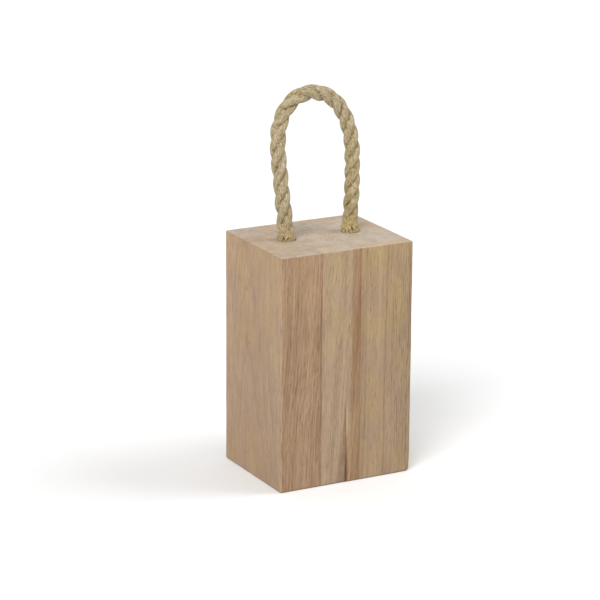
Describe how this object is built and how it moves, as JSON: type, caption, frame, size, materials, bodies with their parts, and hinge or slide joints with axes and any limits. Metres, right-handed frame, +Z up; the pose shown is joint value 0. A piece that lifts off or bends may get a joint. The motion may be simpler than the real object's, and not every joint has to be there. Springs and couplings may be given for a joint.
{
  "type": "door stop block",
  "caption": "Upright laminated oak block that stands on the floor and holds a door open by its weight, with a standing loop of laid rope glued into its top to carry it by",
  "frame": {"origin": "middle of the block's base, on the floor", "axes": "+Z up along the boards' grain, +X to the right across the glued boards, +Y to the back"},
  "size_m": [0.11, 0.09, 0.2933],
  "materials": {
    "oak_left": "matte",
    "oak_centre_left": "matte",
    "oak_centre_right": "matte",
    "oak_right": "matte",
    "rope": "matte",
    "set_glue": "satin"
  },
  "bodies": {
    "block": {"board_left": "oak_left", "board_centre_left": "oak_centre_left", "board_centre_right": "oak_centre_right", "board_right": "oak_right", "rope_end_left": "rope", "rope_end_right": "rope", "glue_left": "set_glue", "glue_right": "set_glue"},
    "handle": {"rope_handle": "rope"}
  },
  "joints": [
    {"name": "handle_fold", "type": "hinge", "parent": "block", "child": "handle", "pos_m": [0, 0, 0.192], "axis": [1, 0, 0], "range_deg": [-70, 70], "stiffness_Nm_per_rad": 0.06, "deforming": ["rope_end_left", "rope_end_right"]}
  ]
}
